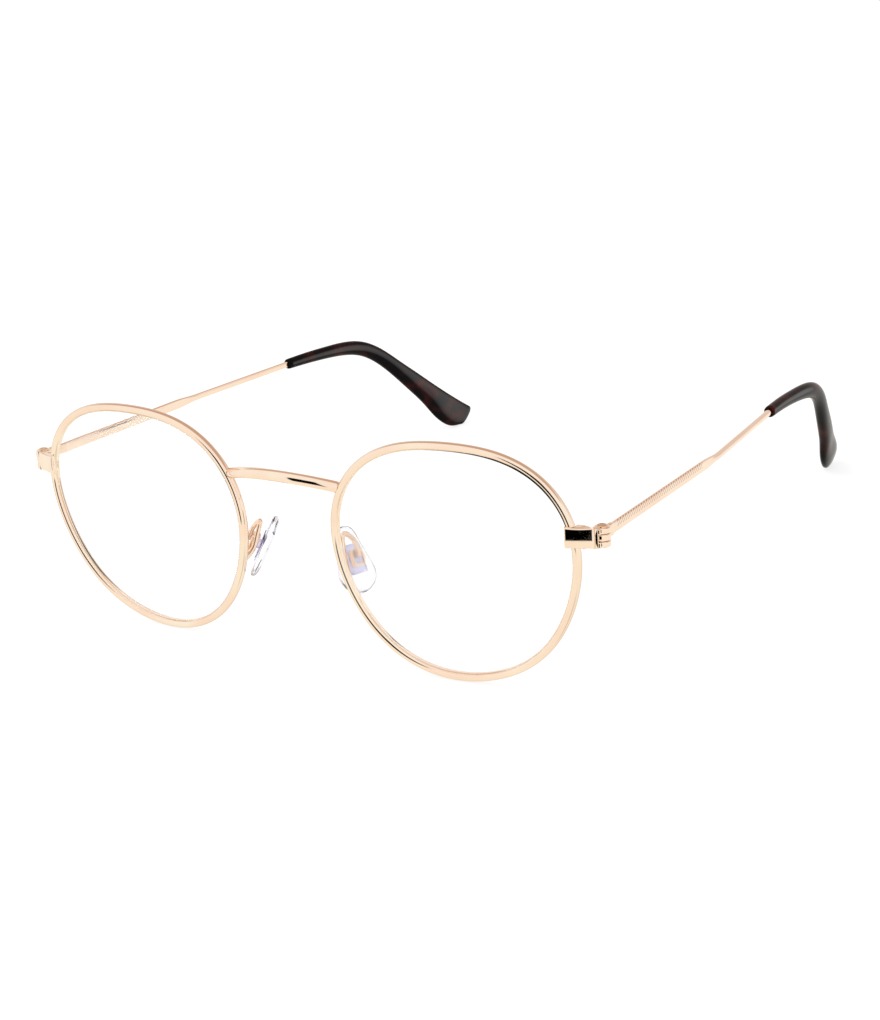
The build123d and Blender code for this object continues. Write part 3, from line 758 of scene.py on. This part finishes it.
def pad_outline():
    """Hull of a small upper and a large lower circle, evenly spaced."""
    top = PAD_LENGTH / 2 - PAD_TOP_RADIUS
    bottom = PAD_BOTTOM_RADIUS - PAD_LENGTH / 2
    lean_angle = math.asin((PAD_BOTTOM_RADIUS - PAD_TOP_RADIUS) / (top - bottom))
    points = []
    for radius, centre, start, end, count in (
            (PAD_TOP_RADIUS, top, lean_angle, math.pi - lean_angle, PAD_POINTS // 3),
            (PAD_BOTTOM_RADIUS, bottom, math.pi - lean_angle, 2 * math.pi + lean_angle,
             PAD_POINTS // 2)):
        for q in np.linspace(start, end, count):
            points.append((radius * math.cos(q), centre + radius * math.sin(q)))
    loop = np.array(points + points[:1])
    distance = np.r_[0, np.cumsum(np.linalg.norm(np.diff(loop, axis=0), axis=1))]
    even = np.linspace(0, distance[-1], PAD_POINTS, endpoint=False)
    return np.stack([np.interp(even, distance, loop[:, i]) for i in (0, 1)], 1)


def on_pad(flat, out):
    return placed(flat, PAD_CENTRE, PAD_ACROSS, PAD_UP) + out * PAD_OUT


def rectangle_points(angles, half_width, half_height):
    """Where rays at the angles meet a rectangle."""
    c, s = np.cos(angles), np.sin(angles)
    reach = np.minimum(half_width / np.maximum(np.abs(c), 1e-9),
                       half_height / np.maximum(np.abs(s), 1e-9))
    return np.stack([c * reach, s * reach], 1)


def build_pads():
    outline = pad_outline()
    angles = np.arctan2(outline[:, 1], outline[:, 0])
    rings = [on_pad(outline * share, out) for share, out in PAD_BODY]
    rings += [on_pad(rectangle_points(angles, half_width, half_height), out)
              for half_width, half_height, out in PAD_POCKET]
    wall = len(PAD_BODY)
    build_pair("soft_pad", tube(rings), PAD_CLEAR, "nose_pad", body="{}_pad", slot="pad",
               sharp_deg=40, inlay=(POCKET_PAINTED_SHADE, PAD_POINTS, range(wall, wall + 3)))


build_pads()

# ------------------------------------------------------------------ pad arms
PAD_ARM_PATH = ((12.30, 0.02, -6.35), (11.00, 1.00, -4.30), (10.20, 1.70, -1.30),
                (10.05, 2.65, 0.80), (11.35, 3.15, 0.10), (12.70, 2.85, -1.80),
                (13.10, 2.60, -3.10))
pad_arm = round_wire(curve_through(PAD_ARM_PATH, 90), 0.50, n=24, dome_start=False)
build_pair("gooseneck", flipped(pad_arm), WIRE_GOLD, "pad_arm")

# ------------------------------------------------------------------ endpieces
# the plate's front runs outward and back from start to end, in (x, y)
PLATE_START, PLATE_END = np.array([60.45, -1.08]), np.array([65.33, 0.61])
PLATE_LENGTH = np.linalg.norm(PLATE_END - PLATE_START)
PLATE_ALONG = (PLATE_END - PLATE_START) / PLATE_LENGTH
PLATE_INWARD = np.array([-PLATE_ALONG[1], PLATE_ALONG[0]])      # from the front into it
PLATE_Z, PLATE_HALF_HEIGHT = 7.775, 2.025
PLATE_BACK_Y = 0.95
PLATE_DEPTH, PLATE_LEAST_DEPTH = 1.03, 0.56


def plate_ring(u):
    """Section of the plate at u along its front."""
    inset = 0.0
    if u < 0.20:
        inset = 0.24 * quarter_drop(0.20 - u, 0.27)
    elif u > PLATE_LENGTH - 0.05:
        inset = 0.30 * quarter_drop(u - PLATE_LENGTH + 0.05, 0.345)
    front = PLATE_START + PLATE_ALONG * u
    arch = math.sin(math.pi * min(1, max(0, u / PLATE_LENGTH)))
    room = (PLATE_BACK_Y - (front[1] + inset)) / PLATE_INWARD[1]
    depth = max(0.10, min(PLATE_DEPTH, room) - inset * 0.5)
    if u < PLATE_LENGTH:
        depth = max(depth, PLATE_LEAST_DEPTH)
    half_height = PLATE_HALF_HEIGHT - inset * 0.55 - 0.10 * arch
    ring = []
    for q in np.linspace(-1, 1, 25):
        # crowned front: set back most at the top and bottom edges
        back = -0.12 * arch + inset + 0.20 * q * q
        if abs(q) > 0.86:
            back += 0.30 * quarter_drop(abs(q) - 0.86, 0.14)
        ring.append((*(front + PLATE_INWARD * back), PLATE_Z + half_height * q))
    for q in np.linspace(1, -1, 9):
        ring.append((*(front + PLATE_INWARD * depth), PLATE_Z + half_height * q * 0.985))
    return np.array(ring)


plate_stations = np.r_[-0.06, -0.03, 0.02, 0.10, 0.20,
                       np.linspace(0.4, PLATE_LENGTH - 0.05, 26),
                       PLATE_LENGTH + np.array([0.05, 0.14, 0.21, 0.26, 0.29])]
build_pair("end_plate", tube([plate_ring(u) for u in plate_stations]), GOLD, "endpiece",
           sharp_deg=48)

# ------------------------------------------------------------------ hinges
HINGE_X, HINGE_Y = 66.00, 2.85
KNUCKLE_RADIUS, KNUCKLE_BORE, KNUCKLE_ROUND = 1.55, 0.66, 0.30
OUTER_HEIGHT, MIDDLE_HEIGHT, KNUCKLE_GAP = 1.17, 1.29, 0.06
LOWER_Z = 5.85
MIDDLE_Z = LOWER_Z + OUTER_HEIGHT + KNUCKLE_GAP
UPPER_Z = MIDDLE_Z + MIDDLE_HEIGHT + KNUCKLE_GAP
HINGE_TOP = UPPER_Z + OUTER_HEIGHT


def knuckle(bottom, height):
    """Upright bored barrel with rounded rims."""
    top = bottom + height
    section = [(KNUCKLE_BORE, bottom)]
    for centre, start in ((bottom + KNUCKLE_ROUND, -90), (top - KNUCKLE_ROUND, 0)):
        for q in np.linspace(start, start + 90, 7):
            t = math.radians(q)
            section.append((KNUCKLE_RADIUS - KNUCKLE_ROUND + KNUCKLE_ROUND * math.cos(t),
                            centre + KNUCKLE_ROUND * math.sin(t)))
    section.append((KNUCKLE_BORE, top))
    rings = []
    for k in range(64):
        t = 2 * math.pi * k / 64
        rings.append([(HINGE_X + r * math.cos(t), HINGE_Y + r * math.sin(t), z)
                      for r, z in section])
    return tube(rings, closed=True)


def soft_bar(x0, x1, y0, y1, z0, z1, radius):
    """Bar along Y with rounded long edges and ends."""
    section = round_box(x1 - x0, z1 - z0, radius, 4)
    x, z = (x0 + x1) / 2, (z0 + z1) / 2
    half_x, half_z = (x1 - x0) / 2, (z1 - z0) / 2
    rings = []
    # place along the bar, and how much the section shrinks there
    for y, shrink in ((y0, 0.7), (y0 + 0.3 * radius, 0.25), (y0 + radius, 0.0),
                      (y1 - radius, 0.0), (y1 - 0.3 * radius, 0.25), (y1, 0.7)):
        scale_x, scale_z = 1 - shrink * radius / half_x, 1 - shrink * radius / half_z
        rings.append([(x + p[0] * scale_x, y, z + p[1] * scale_z) for p in section])
    return tube(rings)


hinge_fork = merge([
    knuckle(LOWER_Z, OUTER_HEIGHT),
    knuckle(UPPER_Z, OUTER_HEIGHT),
    soft_bar(64.66, 66.50, 1.02, 2.15, LOWER_Z + 0.05, LOWER_Z + OUTER_HEIGHT, 0.14),
    soft_bar(64.66, 66.50, 1.02, 2.15, UPPER_Z, HINGE_TOP - 0.05, 0.14),
    soft_bar(64.38, 66.16, 0.90, 1.24, LOWER_Z, HINGE_TOP, 0.10)])
hinge_tongue = merge([
    knuckle(MIDDLE_Z, MIDDLE_HEIGHT),
    soft_bar(65.76, 66.74, 3.6, 5.1, MIDDLE_Z + 0.02, MIDDLE_Z + MIDDLE_HEIGHT - 0.02, 0.18),
    soft_bar(65.75, 66.77, 4.54, 6.24, 6.93, 9.30, 0.24)])
for side in SIDES:
    build_side(side, "hinge_fork", hinge_fork, GOLD, "hinge_front", sharp_deg=50)
    build_side(side, "hinge_tongue", hinge_tongue, GOLD, "hinge_temple", body="{}_arm",
               sharp_deg=50)

# ------------------------------------------------------------------ pad boxes
# half width, half height, distance out from the pad centre, corner radius
BOX_STATIONS = [
    (1.20, 1.55, 1.36, 0.30), (1.32, 1.67, 1.42, 0.36), (1.35, 1.70, 1.60, 0.40),
    (1.35, 1.70, 2.74, 0.40), (1.32, 1.67, 2.90, 0.38), (1.22, 1.57, 3.00, 0.34),
    (1.10, 1.45, 3.04, 0.30), (0.96, 1.30, 3.02, 0.26), (0.88, 1.22, 2.92, 0.24),
    (0.84, 1.18, 2.74, 0.22), (0.4, 0.6, 2.70, 0.10)]
box_rings = [on_pad(round_box(2 * half_width, 2 * half_height, corner, 5), out)
             for half_width, half_height, out, corner in BOX_STATIONS]
# lilac: the last band and the cap that closes it, the floor of the outer recess
box_bands = len(box_rings) - 1
build_pair("pad_cup", tube(box_rings), GOLD, "pad_box", sharp_deg=50,
           inlay=(BOX_LILAC, len(box_rings[0]), (box_bands - 1, box_bands + 1)))

# ------------------------------------------------------------------ CAD nodes that stay
KEPT = {"closing_block_upper": GOLD, "closing_block_lower": GOLD, "closing_screw": SCREW_GOLD,
        "hinge_screw": SCREW_GOLD, "pad_screw": SCREW_GOLD, "pad_insert": INSERT_CLEAR}
for side in SIDES:
    for name, material in KEPT.items():
        ob = nodes[side + "_" + name]
        ob.data.materials.clear()
        ob.data.materials.append(material)
        if name.startswith("closing_block"):
            bevel = ob.modifiers.new("edge", "BEVEL")
            bevel.width = 0.06 * MM
            bevel.segments = 2
            bevel.limit_method = "ANGLE"
            bevel.angle_limit = math.radians(35)
            bevel.harden_normals = False

# every built piece faces outward
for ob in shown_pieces():
    if ob.get("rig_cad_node"):
        continue
    bm = bmesh.new()
    bm.from_mesh(ob.data)
    bmesh.ops.recalc_face_normals(bm, faces=bm.faces)
    bm.to_mesh(ob.data)
    bm.free()


# ------------------------------------------------------------------ floor (metres from here)
def build_floor():
    """Glowing pale floor, left out of reflections."""
    half = 30.0
    me = bpy.data.meshes.new("floor")
    me.from_pydata([(-half, -half, 0), (half, -half, 0), (half, half, 0), (-half, half, 0)],
                   [], [(0, 1, 2, 3)])
    floor = bpy.data.objects.new("floor", me)
    floor.location.z = -0.00005
    bpy.context.scene.collection.objects.link(floor)
    material, tree, surface = new_material("pale_floor")
    glow = add_node(tree, "Emission", {"Color": (1, 1, 1, 1), "Strength": 0.76})
    diffuse = add_node(tree, "BsdfDiffuse", {"Color": (0.28, 0.28, 0.28, 1)})
    both = add_node(tree, "AddShader", {0: glow.outputs[0], 1: diffuse.outputs[0]})
    tree.links.new(both.outputs[0], surface)
    me.materials.append(material)
    floor.visible_glossy = False


build_floor()

# ------------------------------------------------------------------ surroundings
DEGREES_PER_RADIAN = 57.29578
REFLECTED_LEVEL = 1.04
# share taken from red, green and blue: by the far upper side, and by the low side
DIMMING = ((0.42, 0.0), (0.60, 0.02), (0.68, 0.09))


def build_world():
    """White room; reflections also see dark cards and a dim warm far side."""
    world = bpy.data.worlds.new("studio")
    bpy.context.scene.world = world
    world.use_nodes = True
    tree = world.node_tree
    tree.nodes.clear()
    output = add_node(tree, "OutputWorld")
    coords = add_node(tree, "TexCoord")
    x, y, z = add_node(tree, "SeparateXYZ", {0: coords.outputs["Generated"]}).outputs

    def calc(operation, first, second):
        return calculate(tree, operation, first, second)

    def step(value, low, high):
        return map_range(tree, value, source=(low, high), kind="SMOOTHSTEP")

    # azimuth is 0 to the front and positive to +X; elevation is from the horizon
    azimuth = calc("MULTIPLY", calc("ARCTAN2", x, calc("MULTIPLY", y, -1.0)),
                   DEGREES_PER_RADIAN)
    arcsine = add_node(tree, "Math", {0: z}, operation="ARCSINE").outputs[0]
    elevation = calc("MULTIPLY", arcsine, DEGREES_PER_RADIAN)

    def card(azimuths, elevations, amount, soft):
        """The amount inside a window in degrees, falling to 0 over a soft edge."""
        inside = [calc("MULTIPLY", step(value, low - soft, low + soft),
                       step(value, high + soft, high - soft))
                  for value, (low, high) in ((azimuth, azimuths), (elevation, elevations))]
        return calc("MULTIPLY", calc("MULTIPLY", *inside), amount)

    rays = add_node(tree, "LightPath").outputs
    front_card = card(azimuths=(-13, 20), elevations=(-24, 26), amount=1.0, soft=1.2)
    low_card = card(azimuths=(50, 100), elevations=(-70, -45), amount=0.25, soft=8.0)
    white = calc("SUBTRACT", 1.0, calc("MAXIMUM", front_card, low_card))
    level = calc("MULTIPLY", white, REFLECTED_LEVEL)

    # the far side is dim: strongly high up, half as much straight behind
    high_far = calc("MULTIPLY", step(y, -0.06, 0.30), step(z, 0.38, 0.56))
    high_far = calc("MULTIPLY", high_far, 0.95)
    behind = calc("MULTIPLY", step(y, 0.45, 0.82), step(z, -0.10, 0.25))
    far = calc("MAXIMUM", high_far, calc("MULTIPLY", behind, 0.50))
    low = step(calc("MULTIPLY", z, -1.0), 0.0, 0.6)
    reflected = add_node(tree, "CombineColor")
    for i, (far_loss, low_loss) in enumerate(DIMMING):
        warm = calc("SUBTRACT", 1.0, calc("MULTIPLY", far, far_loss))
        warm = calc("MULTIPLY", warm, calc("SUBTRACT", 1.0, calc("MULTIPLY", low, low_loss)))
        tree.links.new(calc("MULTIPLY", level, warm), reflected.inputs[i])
    seen = add_node(tree, "Background", {"Color": (1, 1, 1, 1), "Strength": 1.0})
    mirrored = add_node(tree, "Background", {"Color": reflected.outputs[0]})
    mixed = add_node(tree, "MixShader", {
        "Fac": calc("MINIMUM", rays["Glossy Depth"], 1.0),
        1: seen.outputs[0], 2: mirrored.outputs[0]})
    tree.links.new(mixed.outputs[0], output.inputs["Surface"])


build_world()


# ------------------------------------------------------------------ light and camera
def build_key_light():
    """Square light high in front, seen neither directly nor in reflections."""
    place, target = Vector((-0.5, -0.6, 1.1)), Vector((0, 0, 0.02))
    light = bpy.data.lights.new("key", "AREA")
    light.shape = "RECTANGLE"
    light.size = light.size_y = 0.9
    light.energy = 6
    ob = bpy.data.objects.new("key", light)
    ob.location = place
    ob.rotation_euler = (target - place).to_track_quat("-Z", "Y").to_euler()
    bpy.context.scene.collection.objects.link(ob)
    ob.visible_glossy = False
    ob.visible_camera = False


def build_camera():
    """Camera in front, to +X and above, looking at the spectacles."""
    right = (0.85009694, 0.52252611, -0.06558696)
    up = (-0.11802054, 0.31040326, 0.94325021)
    backward = (0.51323128, -0.79411351, 0.32554168)
    place = (0.22243778, -0.36302703, 0.15389339)
    camera = bpy.data.cameras.new("camera")
    ob = bpy.data.objects.new("camera", camera)
    bpy.context.scene.collection.objects.link(ob)
    ob.matrix_world = Matrix([*zip(right, up, backward, place), (0, 0, 0, 1)])
    camera.sensor_fit = "VERTICAL"
    camera.sensor_height = 36.0
    camera.lens = 70.4594118
    camera.clip_start = 0.01
    bpy.context.scene.camera = ob


build_key_light()
build_camera()
bpy.context.scene.view_settings.view_transform = "Standard"
bpy.context.scene.view_settings.look = "None"

bpy.context.view_layer.update()
